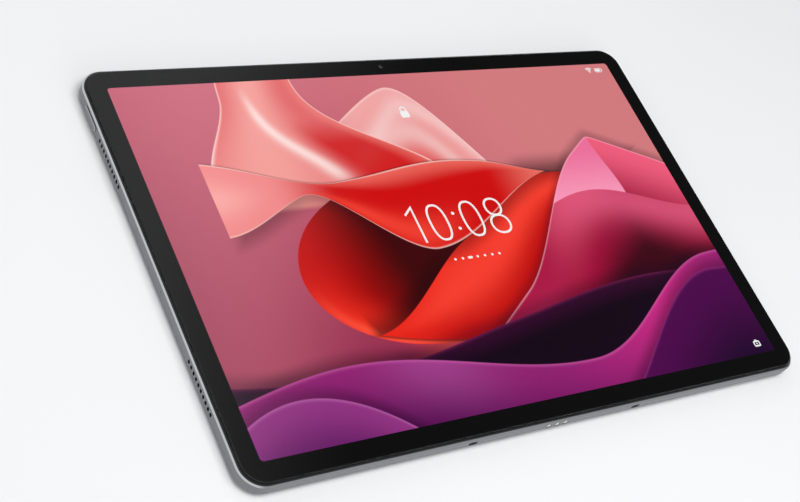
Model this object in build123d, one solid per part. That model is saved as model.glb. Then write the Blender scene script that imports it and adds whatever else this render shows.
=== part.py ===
from build123d import *

import math
import os

# Tablet computer, built as the assembly of pieces that it comes apart into. Millimetres.
# Origin: centre of the flat rear face. +X is to the right of the screen, +Y towards its top
# edge and +Z out of the screen, so the tablet lies on its back with z = 0 at the rear face.

# ---- driving dimensions: body
BODY_W = 293.4
BODY_H = 190.75
BODY_T = 6.9
CORNER_R = 10.5
WALL_T = 1.3
FLOOR_T = 1.0
HALF_W = BODY_W / 2
HALF_H = BODY_H / 2

# Chamfer along the rear edge and chamfer along the front edge: how far in, how far up the wall
REAR_CHAMFER = (0.7, 1.3)
FRONT_CHAMFER = (0.7, 0.35)
WALL_TOP = 5.6
LEDGE_Z = 5.05

# ---- driving dimensions: upper rear cover, which is set into the housing
BAND_Y = 35.5
COVER_T = 0.9
COVER_INSET = 0.85
BAND_FLOOR_TOP = 1.7
FLOOR_OVERLAP = 2.0
SEAM = 0.08
BADGE_X = 135.6
BADGE_Y = (48.0, 77.4)
BADGE_POCKET = 0.35
BADGE_SUNK = 0.02
BADGE_GAP = 0.03
PILL = (13.2, 5.2)
PILL_GAP = 0.12
PILL_DEPTH = 0.4
PEN_MAGNET_X = (-20.0, 0.0, 20.0)
PEN_MAGNET = (18.0, 5.0)
PEN_MAGNET_Z = (0.92, 1.68)
ANTENNA_X = (-75.0, 74.0)
ANTENNA_WINDOW_W = 16.0
ANTENNA_WINDOW_Y = (89.0, 93.0)

# ---- driving dimensions: display
ACTIVE_Y = 0.1
PANEL_W = 277.0
PANEL_H = 173.8
BACKLIGHT_W = 276.2
BACKLIGHT_H = 172.8
PLATE_X = (-138.0, 138.0)
PLATE_Y = (-86.2, 86.3)
PLATE_Z = (3.5, 3.9)
PLATE_R = 2.0
TAB_R = 2.5
TAB_HOLE_GAP = 0.15
BACKLIGHT_Z = (3.9, 5.45)
PANEL_Z = (5.45, 6.2)
FRAME_Z = (4.85, 6.05)
RIM_TOP = 6.2
RIM_INSET = (0.75, 1.42)
RIM_EDGE_R = 0.3
TAPE_INSET = 1.9
PRINT_Z = (6.25, 6.3)
GLASS_Z = (6.3, BODY_T)
GLASS_INSET = 1.5
GLASS_EDGE_R = 0.5
ACTIVE_W = 273.5
ACTIVE_H = 171.0
ACTIVE_R = 1.5
DISPLAY_R = 1.0
DISPLAY_GAP = 0.4
TAPE_GAP = 1.0
FRONT_CAMERA_Y = 90.2
FRONT_CAMERA_W = 4.4
FRONT_CAMERA_Z = (3.2, 5.6)
FRONT_BARREL_R = 1.8
FRONT_APERTURE_R = 0.9
FRONT_WINDOW_R = 1.3

# ---- driving dimensions: rear camera island, seen through the rear cover
ISLAND_X = -116.5
ISLAND_Y = 77.6
ISLAND_W = 45.8
ISLAND_H = 21.1
ISLAND_R = 5.0
ISLAND_PROUD = 0.9
LENS_X = -129.4
FLASH_X = -111.9
RING_R = 7.0
RING_W = 0.75
RING_SEAT_Z = -0.3
LENS_RING_PROUD = 0.6
LENS_RING_EDGE = 0.15
FLASH_RING_PROUD = 0.05
ISLAND_CHAMFER = 0.65
ISLAND_GAP = 0.05
PORTHOLE_R = 5.6
LENS_WINDOW_SUNK = 0.25
LENS_WINDOW_BASE = -0.5
CAMERA_BODY = 11.6
CAMERA_BODY_R = 0.4
CAMERA_BODY_Z = (0.95, 3.35)
CAMERA_BARREL_R = 5.2
CAMERA_BARREL_TOP = -0.4
ELEMENT_R = 2.35
ELEMENT_Z = (-0.3, 1.1)
DOME_R = 3.3
DOME_Z = 3.1
LAMP_W = 3.0
LAMP_R = 0.3
LAMP_Z = (-0.25, 0.45)
LAMP_BOARD_R = 5.2
LAMP_BOARD_T = 0.4

# Steps inside the camera's barrel, from its mouth to its aperture: radius and floor height
BARREL_STEPS = [(4.4, -0.2), (3.4, 0.1), (2.4, 1.2)]

# ---- driving dimensions: side features, all centred on the same height in the wall
SIDE_Z = 3.15
SPEAKER_Y = 51.0
SPEAKER_SLOTS = 10
SPEAKER_PITCH = 2.5
SPEAKER_SLOT = (1.8, 1.45)
POWER_Y = 73.6
POWER_LENGTH = 12.2
VOLUME_X = -104.0
VOLUME_LENGTH = 22.0
BUTTON_H = 2.3
BUTTON_PROUD = 0.4
BUTTON_GAP = 0.12
TRAY_X = 96.0
TRAY_LENGTH = 16.4
MIC_SIDE_Y = -9.05
MIC_TOP_X = 30.0
MIC_R = 0.3
CONTACT_PITCH = 4.5
CONTACT_R = 1.0
CONTACT_LINER = 0.3
SOCKET_X = 43.8
SOCKET = (4.4, 2.2)
SOCKET_DEPTH = 1.8
SOCKET_PAD_W = 9.0
SOCKET_PAD_DEPTH = 3.6
SOCKET_PAD_Z = (0.8, 4.8)
USB_OUTER = (8.94, 3.16)
USB_WALL = 0.3
USB_FIT = 0.08
USB_MOUTH = 0.3
USB_END = 6.9
USB_TONGUE = (6.7, 0.7)
USB_TONGUE_TIP = 1.4
CONTACT_EDGE_R = 0.2

# ---- driving dimensions: inside
BOSS_R = 2.2
SCREW_R = 0.6
SCREW_FIT = 0.02
SCREW_HEAD_R = 1.3
SCREW_HEAD_T = 0.4
SCREW_SLOT = (1.5, 0.3)
PLATE_SCREW_LENGTH = 2.0
BOARD_SCREW_LENGTH = 1.3
SCREW_HOLE_DEPTH = 1.7
BOARD_Z = (1.75, 2.3)
FLEX_Z = (2.34, 2.46)
LOW_Z = 1.05
USB_BOARD_TOP = 1.55
USB_BOARD_X = (128.0, 144.4)
USB_BOARD_W = 28.0
USB_BOARD_R = 1.0
USB_FOOT_X = (129.0, 134.0)
USB_FOOT_Y = (5.0, 13.0)
CAN_TOP = 3.35
CAN_WALL = 0.2

# How far a cutting tool runs past what it opens, how far a wall's tool starts outside the wall,
# how far a boss reaches into what it grows from, and the gap between things that just pass
CUT = 0.1
OUTSIDE = 1.0
ROOT = 0.2
PASS = 0.1

# Screws of the middle plate: along the two side walls, then along the top and bottom walls
PLATE_SCREWS = [(x, y) for x in (-141.9, 141.9) for y in (-86.0, -28.0, 28.0, 86.0)]
PLATE_SCREWS += [(x, 91.0) for x in (-60.0, 60.0)]
PLATE_SCREWS += [(x, -91.0) for x in (-70.0, 70.0)]
BOARD_SCREWS = [(x, y) for x in (-80.5, 22.0, 110.5) for y in (45.0, 83.0)]

# Legs of the port's flat cable, from its foot to the main board: how far each goes in x and in y
USB_FLEX_LEGS = [((118.0, 134.0), USB_FOOT_Y), ((118.0, 124.0), (5.0, 36.0))]
USB_FLEX_LEGS += [((100.0, 124.0), (30.0, 36.0)), ((100.0, 106.0), (30.0, 46.0))]

WALLS = {
    "left": ((0, 1, 0), (1, 0, 0)),
    "right": ((0, -1, 0), (-1, 0, 0)),
    "top": ((1, 0, 0), (0, -1, 0)),
    "bottom": ((-1, 0, 0), (0, 1, 0)),
}


# ---- helpers


def block(x, y, z, corner=0.0):
    """Box between the low and high values on each axis, with its upright edges rounded."""
    width = x[1] - x[0]
    height = y[1] - y[0]
    plan = RectangleRounded(width, height, corner) if corner else Rectangle(width, height)
    return Pos((x[0] + x[1]) / 2, (y[0] + y[1]) / 2, z[0]) * extrude(plan, z[1] - z[0])


def centred(middle, size):
    """Low and high values of a length laid out about its middle."""
    return (middle - size / 2, middle + size / 2)


def mirrored(span, side):
    """A low and high pair on the +X side, or the same pair mirrored to the -X side."""
    return span if side > 0 else (-span[1], -span[0])


def disc(x, y, radius, z):
    """Upright cylinder between two heights."""
    return Pos(x, y, z[0]) * extrude(Circle(radius), z[1] - z[0])


def ring(x, y, outer, inner, z):
    """Upright tube between two heights."""
    return disc(x, y, outer, z) - disc(x, y, inner, z)


def body_slab(inset, z):
    """Slab with the tablet's outline, drawn in by the inset."""
    plan = RectangleRounded(BODY_W - 2 * inset, BODY_H - 2 * inset, CORNER_R - inset)
    return Pos(0, 0, z[0]) * extrude(plan, z[1] - z[0])


def wall_plane(wall, along, z):
    """Plane on a side wall's outer face: x runs along the wall, y is up and z points inward."""
    across, inward = WALLS[wall]
    if wall in ("left", "right"):
        origin = (-HALF_W * inward[0], along, z)
    else:
        origin = (along, -HALF_H * inward[1], z)
    return Plane(origin=origin, x_dir=across, z_dir=inward)


def wall_prism(wall, along, z, plan, depth):
    """A plan pushed through a side wall, between two depths below its outer face."""
    base = wall_plane(wall, along, z).offset(depth[0])
    return extrude(base * plan, depth[1] - depth[0])


def upright_slot(size):
    """Speaker slot, longer up the wall than along it."""
    return SlotOverall(size[0], size[1], rotation=90)


def speaker_slot_places():
    """Every speaker slot's wall and distance along that wall."""
    first = -(SPEAKER_SLOTS - 1) / 2 * SPEAKER_PITCH
    steps = [first + SPEAKER_PITCH * i for i in range(SPEAKER_SLOTS)]
    return [(wall, y + s) for wall in ("left", "right") for y in (-SPEAKER_Y, SPEAKER_Y) for s in steps]


def floor_top(y):
    """Height of the housing's floor, which steps up over the rear cover."""
    return BAND_FLOOR_TOP if y > BAND_Y else FLOOR_T


def group(solids):
    """Separate solids that share one node."""
    return Compound(children=list(solids))


def screws(places, head_z, length):
    """Flat-headed screws with their heads standing on a surface."""
    made = []
    for x, y in places:
        head = disc(x, y, SCREW_HEAD_R, (head_z, head_z + SCREW_HEAD_T))
        slot_z = (head_z + SCREW_HEAD_T / 2, head_z + SCREW_HEAD_T)
        for span in (SCREW_SLOT, SCREW_SLOT[::-1]):
            head -= block(centred(x, span[0]), centred(y, span[1]), slot_z)
        shank = disc(x, y, SCREW_R - SCREW_FIT, (head_z - length, head_z))
        made.append(head + shank)
    return group(made)


# ---- housing and rear cover


def island_slab(grow, z):
    """Slab with the camera island's outline, grown by a clearance."""
    plan = RectangleRounded(ISLAND_W + 2 * grow, ISLAND_H + 2 * grow, ISLAND_R + grow)
    return Pos(ISLAND_X, ISLAND_Y, z[0]) * extrude(plan, z[1] - z[0])


def outer_shell():
    """The housing's outside: a rounded slab with a chamfer round its rear and front edges."""
    shell = body_slab(0, (0, WALL_TOP))
    front = shell.faces().sort_by(Axis.Z)[-1]
    shell = chamfer(front.edges(), FRONT_CHAMFER[0], FRONT_CHAMFER[1], reference=front)
    rear = shell.faces().sort_by(Axis.Z)[0]
    return chamfer(rear.edges(), REAR_CHAMFER[0], REAR_CHAMFER[1], reference=rear)


def housing_hollow():
    """Everything taken out of the housing from the front."""
    below_step = block((-HALF_W, HALF_W), (-HALF_H, BAND_Y - FLOOR_OVERLAP), (0, BODY_T))
    lower = body_slab(WALL_T, (FLOOR_T, WALL_TOP)) & below_step
    upper = body_slab(WALL_T, (BAND_FLOOR_TOP, WALL_TOP))
    ledge = body_slab(RIM_INSET[0], (LEDGE_Z, WALL_TOP))
    return lower + upper + ledge


def housing_bosses():
    """Screw bosses for the middle plate and the two thickened places behind the keyboard sockets."""
    bosses = [disc(x, y, BOSS_R, (floor_top(y) - ROOT, PLATE_Z[0])) for x, y in PLATE_SCREWS]
    pad = (-HALF_H + WALL_T - ROOT, -HALF_H + SOCKET_PAD_DEPTH)
    for x in (-SOCKET_X, SOCKET_X):
        bosses.append(block(centred(x, SOCKET_PAD_W), pad, SOCKET_PAD_Z))
    return bosses


def wall_openings():
    """Every hole through or into the four side walls."""
    through = (-OUTSIDE, WALL_T + CUT)
    cuts = []
    for wall, along in speaker_slot_places():
        cuts.append(wall_prism(wall, along, SIDE_Z, upright_slot(SPEAKER_SLOT), through))
    keys = [("left", POWER_Y, POWER_LENGTH), ("top", VOLUME_X, VOLUME_LENGTH), ("top", TRAY_X, TRAY_LENGTH)]
    for wall, along, length in keys:
        plan = SlotOverall(length + 2 * BUTTON_GAP, BUTTON_H + 2 * BUTTON_GAP)
        cuts.append(wall_prism(wall, along, SIDE_Z, plan, through))
    cuts.append(wall_prism("left", MIC_SIDE_Y, SIDE_Z, Circle(MIC_R), through))
    cuts.append(wall_prism("top", MIC_TOP_X, SIDE_Z, Circle(MIC_R), through))
    usb = SlotOverall(USB_OUTER[0] + 2 * USB_FIT, USB_OUTER[1] + 2 * USB_FIT)
    cuts.append(wall_prism("right", 0, SIDE_Z, usb, through))
    for step in (-1, 0, 1):
        hole = Circle(CONTACT_R + CONTACT_LINER)
        cuts.append(wall_prism("bottom", step * CONTACT_PITCH, SIDE_Z, hole, through))
    for x in (-SOCKET_X, SOCKET_X):
        cuts.append(wall_prism("bottom", x, SIDE_Z, SlotOverall(*SOCKET), (-OUTSIDE, SOCKET_DEPTH)))
    return cuts


def floor_openings():
    """Holes in the floor under the rear cover: camera, pen magnets, antennas and board screws."""
    span = (COVER_T - CUT, BAND_FLOOR_TOP + CUT)
    camera = CAMERA_BODY + 4 * PASS
    cuts = [block(centred(LENS_X, camera), centred(ISLAND_Y, camera), span, CAMERA_BODY_R + PASS)]
    magnet = [centred(ISLAND_Y, PEN_MAGNET[1] + 4 * PASS), span]
    cuts += [block(centred(x, PEN_MAGNET[0] + 4 * PASS), *magnet) for x in PEN_MAGNET_X]
    cuts += [block(centred(x, ANTENNA_WINDOW_W), ANTENNA_WINDOW_Y, span) for x in ANTENNA_X]
    cuts += [disc(x, y, SCREW_R, span) for x, y in BOARD_SCREWS]
    return cuts


def rear_housing():
    """Machined aluminium tray: rear face, four walls, and the recess that takes the rear cover."""
    shell = outer_shell() - housing_hollow()
    upper = block((-HALF_W, HALF_W), (BAND_Y, HALF_H), (-CUT, BAND_FLOOR_TOP))
    shell -= body_slab(COVER_INSET - SEAM, (-CUT, COVER_T)) & upper
    for boss in housing_bosses():
        shell += boss
    for cut in wall_openings():
        shell -= cut
    for cut in floor_openings():
        shell -= cut
    for x, y in PLATE_SCREWS:
        shell -= disc(x, y, SCREW_R, (PLATE_Z[0] - SCREW_HOLE_DEPTH, PLATE_Z[0] + CUT))
    return shell


def badge_limits(grow=0.0):
    """The badge's place on the rear cover: it runs to the cover's edge on the +X side."""
    return (BADGE_X - grow, HALF_W - COVER_INSET + grow), (BADGE_Y[0] - grow, BADGE_Y[1] + grow)


def pen_pill(grow, z):
    """Pill-shaped slab over the pen magnets."""
    plan = SlotOverall(PILL[0] + 2 * grow, PILL[1] + 2 * grow)
    return Pos(0, ISLAND_Y, z[0]) * extrude(plan, z[1] - z[0])


def antenna_cover():
    """Upper rear cover that radio waves pass through, with the pockets for what is set into it."""
    upper = block((-HALF_W, HALF_W), (BAND_Y + SEAM, HALF_H), (-CUT, BAND_FLOOR_TOP))
    cover = body_slab(COVER_INSET, (0, COVER_T)) & upper
    cover -= island_slab(ISLAND_GAP, (-CUT, COVER_T + CUT))
    across, along = badge_limits()
    cover -= block((across[0], across[1] + OUTSIDE), along, (-CUT, BADGE_POCKET))
    cover -= pen_pill(PILL_GAP, (-CUT, PILL_DEPTH))
    return cover


def badge_plate():
    """Blank brushed-metal badge, set flush into the rear cover."""
    across, along = badge_limits(-BADGE_GAP)
    return block(across, along, (BADGE_SUNK, BADGE_POCKET))


def pen_marker():
    """Flush inlay that shows where the pen is held."""
    return pen_pill(0, (0, PILL_DEPTH))


def pen_magnets():
    """Three bar magnets under the pen marker."""
    along = centred(ISLAND_Y, PEN_MAGNET[1])
    return group(block(centred(x, PEN_MAGNET[0]), along, PEN_MAGNET_Z) for x in PEN_MAGNET_X)


# ---- rear camera island


def camera_plate():
    """Raised plate round the lens and the flash, with a polished bevel and its bonding flange."""
    plate = island_slab(0, (-ISLAND_PROUD, COVER_T))
    face = plate.faces().sort_by(Axis.Z)[0]
    plate = chamfer(face.edges(), ISLAND_CHAMFER)
    for x in (LENS_X, FLASH_X):
        plate -= disc(x, ISLAND_Y, RING_R, (-ISLAND_PROUD - CUT, RING_SEAT_Z))
        plate -= disc(x, ISLAND_Y, PORTHOLE_R, (RING_SEAT_Z - CUT, COVER_T + CUT))
    return plate


def lens_ring():
    """Ring that stands proud round the lens window."""
    top = -ISLAND_PROUD - LENS_RING_PROUD
    made = ring(LENS_X, ISLAND_Y, RING_R, RING_R - RING_W, (top, RING_SEAT_Z))
    rims = made.edges().filter_by(GeomType.CIRCLE).group_by(Axis.Z)[0]
    return chamfer(rims, LENS_RING_EDGE)


def lens_window():
    """Glass over the rear camera, a little below the ring's top."""
    top = -ISLAND_PROUD - LENS_RING_PROUD + LENS_WINDOW_SUNK
    return disc(LENS_X, ISLAND_Y, RING_R - RING_W, (top, LENS_WINDOW_BASE))


def rear_camera():
    """Camera module: square body, round barrel and a stepped cone down to the aperture."""
    across = centred(LENS_X, CAMERA_BODY)
    along = centred(ISLAND_Y, CAMERA_BODY)
    camera = block(across, along, CAMERA_BODY_Z, CAMERA_BODY_R)
    camera += disc(LENS_X, ISLAND_Y, CAMERA_BARREL_R, (CAMERA_BARREL_TOP, CAMERA_BODY_Z[0]))
    mouth = CAMERA_BARREL_TOP - CUT
    for radius, floor in BARREL_STEPS:
        camera -= disc(LENS_X, ISLAND_Y, radius, (mouth, floor))
        mouth = floor - CUT
    return camera


def lens_element():
    """Front glass element of the camera, domed towards the window."""
    dome = Pos(LENS_X, ISLAND_Y, DOME_Z) * Sphere(DOME_R)
    return dome & disc(LENS_X, ISLAND_Y, ELEMENT_R, ELEMENT_Z)


def flash_ring():
    """Thin ring round the flash window, flush with the plate."""
    span = (-ISLAND_PROUD - FLASH_RING_PROUD, RING_SEAT_Z)
    return ring(FLASH_X, ISLAND_Y, RING_R, RING_R - RING_W, span)


def flash_window():
    """Round diffuser over the flash lamp."""
    return disc(FLASH_X, ISLAND_Y, RING_R - RING_W, (-ISLAND_PROUD, RING_SEAT_Z))


def flash_lamp():
    """Light-emitting package under the middle of the diffuser."""
    return block(centred(FLASH_X, LAMP_W), centred(ISLAND_Y, LAMP_W), LAMP_Z, LAMP_R)


def flash_board():
    """Round board that carries the flash lamp."""
    return disc(FLASH_X, ISLAND_Y, LAMP_BOARD_R, (LAMP_Z[1], LAMP_Z[1] + LAMP_BOARD_T))


# ---- display


def cover_glass():
    """Full-width cover glass with a rounded front edge."""
    glass = body_slab(GLASS_INSET, GLASS_Z)
    front = glass.faces().sort_by(Axis.Z)[-1]
    return fillet(front.edges(), GLASS_EDGE_R)


def border_print():
    """Black ink on the glass's rear face, round the lit area, with a window for the front camera."""
    ink = body_slab(GLASS_INSET, PRINT_Z)
    span = (PRINT_Z[0] - CUT, PRINT_Z[1] + CUT)
    ink -= block(centred(0, ACTIVE_W), centred(ACTIVE_Y, ACTIVE_H), span, ACTIVE_R)
    return ink - disc(0, FRONT_CAMERA_Y, FRONT_WINDOW_R, span)


def display_opening(z, gap=DISPLAY_GAP):
    """The space that the display module takes out of the frame and the tape."""
    across = centred(0, PANEL_W + 2 * gap)
    along = centred(ACTIVE_Y, PANEL_H + 2 * gap)
    return block(across, along, z, DISPLAY_R)


def front_camera_space(z, gap):
    """The square hole for the front camera, in the top border."""
    side = FRONT_CAMERA_W + 2 * gap
    return block(centred(0, side), centred(FRONT_CAMERA_Y, side), z)


def display_frame():
    """Black plastic frame between the housing and the glass; its outer rim shows as a thin line."""
    frame = body_slab(RIM_INSET[0], (LEDGE_Z, RIM_TOP))
    front = frame.faces().sort_by(Axis.Z)[-1]
    frame = fillet(front.edges(), RIM_EDGE_R)
    frame -= body_slab(RIM_INSET[1], (FRAME_Z[1], RIM_TOP + CUT))
    frame += body_slab(WALL_T + PASS, (FRAME_Z[0], LEDGE_Z))
    frame -= display_opening((FRAME_Z[0] - CUT, RIM_TOP))
    return frame - front_camera_space((FRAME_Z[0] - CUT, RIM_TOP), PASS)


def display_tape():
    """Adhesive tape that holds the glass to the frame."""
    span = (FRAME_Z[1], PRINT_Z[0])
    through = (span[0] - CUT, span[1] + CUT)
    tape = body_slab(TAPE_INSET, span) - display_opening(through, TAPE_GAP)
    return tape - front_camera_space(through, 6 * PASS)


def display_panel():
    """Liquid-crystal cell with its polarisers."""
    return block(centred(0, PANEL_W), centred(ACTIVE_Y, PANEL_H), PANEL_Z, DISPLAY_R)


def backlight_unit():
    """Light guide, diffusers and reflector in their tray."""
    return block(centred(0, BACKLIGHT_W), centred(ACTIVE_Y, BACKLIGHT_H), BACKLIGHT_Z, DISPLAY_R)


def mid_plate():
    """Stamped plate that carries the display, with a screw tab at each boss."""
    plate = block(PLATE_X, PLATE_Y, PLATE_Z, PLATE_R)
    for x, y in PLATE_SCREWS:
        at_side = abs(x) > PLATE_X[1]
        root_x = math.copysign(PLATE_X[1] - PLATE_R, x)
        root_y = PLATE_Y[1] - PLATE_R if y > 0 else PLATE_Y[0] + PLATE_R
        across = sorted((x, root_x)) if at_side else centred(x, 2 * TAB_R)
        along = centred(y, 2 * TAB_R) if at_side else sorted((y, root_y))
        plate += block(across, along, PLATE_Z)
        plate += disc(x, y, TAB_R, PLATE_Z)
    for x, y in PLATE_SCREWS:
        plate -= disc(x, y, SCREW_R + TAB_HOLE_GAP, (PLATE_Z[0] - CUT, PLATE_Z[1] + CUT))
    return plate


def front_camera():
    """Front camera under the border of the glass."""
    top = FRONT_CAMERA_Z[1]
    camera = front_camera_space(FRONT_CAMERA_Z, 0)
    camera += disc(0, FRONT_CAMERA_Y, FRONT_BARREL_R, (top, RIM_TOP))
    return camera - disc(0, FRONT_CAMERA_Y, FRONT_APERTURE_R, (top + ROOT, RIM_TOP + CUT))


# ---- buttons and card tray: depths are below the wall's outer face

KEY_EDGE_R = 0.15
KEY_BACK_H = 2.7
POWER_CAP_DEPTH = 1.5
POWER_FLANGE = (POWER_LENGTH + 2.0, KEY_BACK_H)
POWER_FLANGE_DEPTH = (1.4, 1.9)
POWER_BRACKET = (14.2, KEY_BACK_H)
POWER_BRACKET_DEPTH = (3.1, 3.9)
DOME = (3.5, 2.2)
POWER_DOME_DEPTH = (2.2, 3.1)
VOLUME_CAP_DEPTH = 2.0
VOLUME_FLANGE = (VOLUME_LENGTH + 2.2, KEY_BACK_H)
VOLUME_FLANGE_DEPTH = (1.95, 2.45)
VOLUME_PAD = (3.0, KEY_BACK_H)
VOLUME_PAD_DEPTH = (1.4, 2.0)
VOLUME_RIDGE = (0.9, KEY_BACK_H)
VOLUME_RIDGE_DEPTH = (2.4, 2.8)
VOLUME_BRACKET = (26.0, KEY_BACK_H)
VOLUME_BRACKET_DEPTH = (3.4, 4.2)
VOLUME_REST = (1.6, KEY_BACK_H)
VOLUME_REST_DEPTH = (2.85, 3.4)
VOLUME_DOME_X = 8.0
VOLUME_DOME_DEPTH = (2.8, 3.4)
TRAY_CAP_DEPTH = (0.03, 1.5)
EJECT_X = 6.3
EJECT_R = 0.45
BLADE_W = 13.0
BLADE_Y = (76.4, HALF_H - 1.4)
BLADE_Z = (2.46, 3.12)
BLADE_R = 0.6
CARD_W = 11.2
CARD_Y = (77.4, 92.6)
CARD_Z = 2.76
CARD_R = 0.5
CARD_WINDOW_W = 9.6
CARD_WINDOW_Y = (78.6, 91.4)
READER_W = 15.4
READER_Y = (75.6, 93.6)
READER_Z = (2.3, 3.42)
READER_BAY_W = 13.3
READER_BAY_Y = (76.0, 94.0)
READER_BAY_Z = (2.38, 3.22)


def power_button():
    """Slim key in the left wall, with the flange that keeps it in."""
    plan = SlotOverall(POWER_LENGTH, BUTTON_H)
    cap = wall_prism("left", POWER_Y, SIDE_Z, plan, (-BUTTON_PROUD, POWER_CAP_DEPTH))
    outer = cap.faces().sort_by(Axis.X)[0]
    cap = fillet(outer.edges(), KEY_EDGE_R)
    return cap + wall_prism("left", POWER_Y, SIDE_Z, Rectangle(*POWER_FLANGE), POWER_FLANGE_DEPTH)


def power_switch():
    """Bracket and dome switch behind the power button."""
    bracket = wall_prism("left", POWER_Y, SIDE_Z, Rectangle(*POWER_BRACKET), POWER_BRACKET_DEPTH)
    return bracket + wall_prism("left", POWER_Y, SIDE_Z, Rectangle(*DOME), POWER_DOME_DEPTH)


def volume_rocker():
    """Long rocking key in the top wall; it tips on the ridges at its middle."""
    plan = SlotOverall(VOLUME_LENGTH, BUTTON_H)
    rocker = wall_prism("top", VOLUME_X, SIDE_Z, plan, (-BUTTON_PROUD, VOLUME_CAP_DEPTH))
    outer = rocker.faces().sort_by(Axis.Y)[-1]
    rocker = fillet(outer.edges(), KEY_EDGE_R)
    backs = [
        (VOLUME_FLANGE, VOLUME_FLANGE_DEPTH),
        (VOLUME_PAD, VOLUME_PAD_DEPTH),
        (VOLUME_RIDGE, VOLUME_RIDGE_DEPTH),
    ]
    for size, depth in backs:
        rocker += wall_prism("top", VOLUME_X, SIDE_Z, Rectangle(*size), depth)
    return rocker


def volume_switches():
    """Bracket with the rocker's rest and a dome switch behind each end."""
    bracket = wall_prism("top", VOLUME_X, SIDE_Z, Rectangle(*VOLUME_BRACKET), VOLUME_BRACKET_DEPTH)
    bracket += wall_prism("top", VOLUME_X, SIDE_Z, Rectangle(*VOLUME_REST), VOLUME_REST_DEPTH)
    for x in (VOLUME_X - VOLUME_DOME_X, VOLUME_X + VOLUME_DOME_X):
        bracket += wall_prism("top", x, SIDE_Z, Rectangle(*DOME), VOLUME_DOME_DEPTH)
    return bracket


def card_tray():
    """Memory-card tray: a cap that fills its slot in the wall, and a blade with the card's pocket."""
    cap = wall_prism("top", TRAY_X, SIDE_Z, SlotOverall(TRAY_LENGTH, BUTTON_H), TRAY_CAP_DEPTH)
    through = (-CUT, TRAY_CAP_DEPTH[1] + CUT)
    cap -= wall_prism("top", TRAY_X + EJECT_X, SIDE_Z, Circle(EJECT_R), through)
    blade = block(centred(TRAY_X, BLADE_W), BLADE_Y, BLADE_Z, BLADE_R)
    blade -= block(centred(TRAY_X, CARD_W), CARD_Y, (CARD_Z, BLADE_Z[1] + CUT), CARD_R)
    window = (BLADE_Z[0] - CUT, BLADE_Z[1] + CUT)
    blade -= block(centred(TRAY_X, CARD_WINDOW_W), CARD_WINDOW_Y, window, CARD_R)
    return cap + blade


def card_reader():
    """Reader that the tray slides into: a base, two side rails and a stamped roof."""
    reader = block(centred(TRAY_X, READER_W), READER_Y, READER_Z)
    return reader - block(centred(TRAY_X, READER_BAY_W), READER_BAY_Y, READER_BAY_Z)


# ---- connector, speakers and microphones: a speaker's X values are those on the +X side

MOUTH_X = (139.2, 145.1)
CHAMBER_X = (118.0, 139.4)
SPEAKER_W = 27.0
MOUTH_TOP = 4.6
CHAMBER_TOP = 3.35
THROAT_X = (141.6, 145.2)
THROAT_W = 24.6
THROAT_H = 2.0
CONE_X = 128.6
CONE_R = 7.5
CONE_DEPTH = 0.1
MESH_X = (145.1, 145.35)
MESH_W = 25.4
MESH_H = 2.6
MICROPHONE = (3.0, 2.2)
MICROPHONE_DEPTH = (1.35, 2.4)


def usb_shell():
    """Oval metal shell of the charging and data port, closed at its inner end."""
    inner = (USB_OUTER[0] - 2 * USB_WALL, USB_OUTER[1] - 2 * USB_WALL)
    outside = (USB_MOUTH, USB_END + 4 * PASS)
    shell = wall_prism("right", 0, SIDE_Z, SlotOverall(*USB_OUTER), outside)
    return shell - wall_prism("right", 0, SIDE_Z, SlotOverall(*inner), (USB_MOUTH - CUT, USB_END))


def usb_tongue():
    """Contact tongue in the middle of the port."""
    tongue = wall_prism("right", 0, SIDE_Z, Rectangle(*USB_TONGUE), (USB_TONGUE_TIP, USB_END))
    return fillet(tongue.faces().sort_by(Axis.X)[-1].edges(), CONTACT_EDGE_R)


def usb_board():
    """Small board under the port."""
    return block(USB_BOARD_X, centred(0, USB_BOARD_W), (LOW_Z, USB_BOARD_TOP), USB_BOARD_R)


def usb_flex():
    """Flat cable from the port's board, round the battery, to the main board."""
    flex = block(USB_FOOT_X, USB_FOOT_Y, (USB_BOARD_TOP, FLEX_Z[1]))
    for across, along in USB_FLEX_LEGS:
        flex += block(across, along, FLEX_Z)
    return flex


def speaker(side, y):
    """Speaker box: a tall mouth against the wall and a flat sound chamber under the display."""
    base = floor_top(y) + PASS / 2
    mouth = block(mirrored(MOUTH_X, side), centred(y, SPEAKER_W), (base, MOUTH_TOP))
    chamber = block(mirrored(CHAMBER_X, side), centred(y, SPEAKER_W), (base, CHAMBER_TOP))
    throat = block(mirrored(THROAT_X, side), centred(y, THROAT_W), centred(SIDE_Z, THROAT_H))
    cone = disc(side * CONE_X, y, CONE_R, (CHAMBER_TOP - CONE_DEPTH, CHAMBER_TOP + CUT))
    return mouth + chamber - throat - cone


def speaker_mesh(side, y):
    """Dust mesh between the slots in the wall and the speaker's mouth."""
    return block(mirrored(MESH_X, side), centred(y, MESH_W), centred(SIDE_Z, MESH_H))


def microphone(wall, along):
    """Microphone package behind its pinhole."""
    return wall_prism(wall, along, SIDE_Z, Rectangle(*MICROPHONE), MICROPHONE_DEPTH)


# ---- keyboard contacts

POGO_BLOCK = (16.0, 2.9)
POGO_BLOCK_END = 2.6
LINER_SUNK = 0.15
CONTACT_DEPTH = (0.08, 3.2)
DOCK_MAGNET_X = (-90.0, -24.0, 24.0, 90.0)
DOCK_MAGNET_W = 22.0
DOCK_MAGNET_Y = (-93.9, -91.4)
DOCK_MAGNET_Z = (1.5, 4.3)


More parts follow.
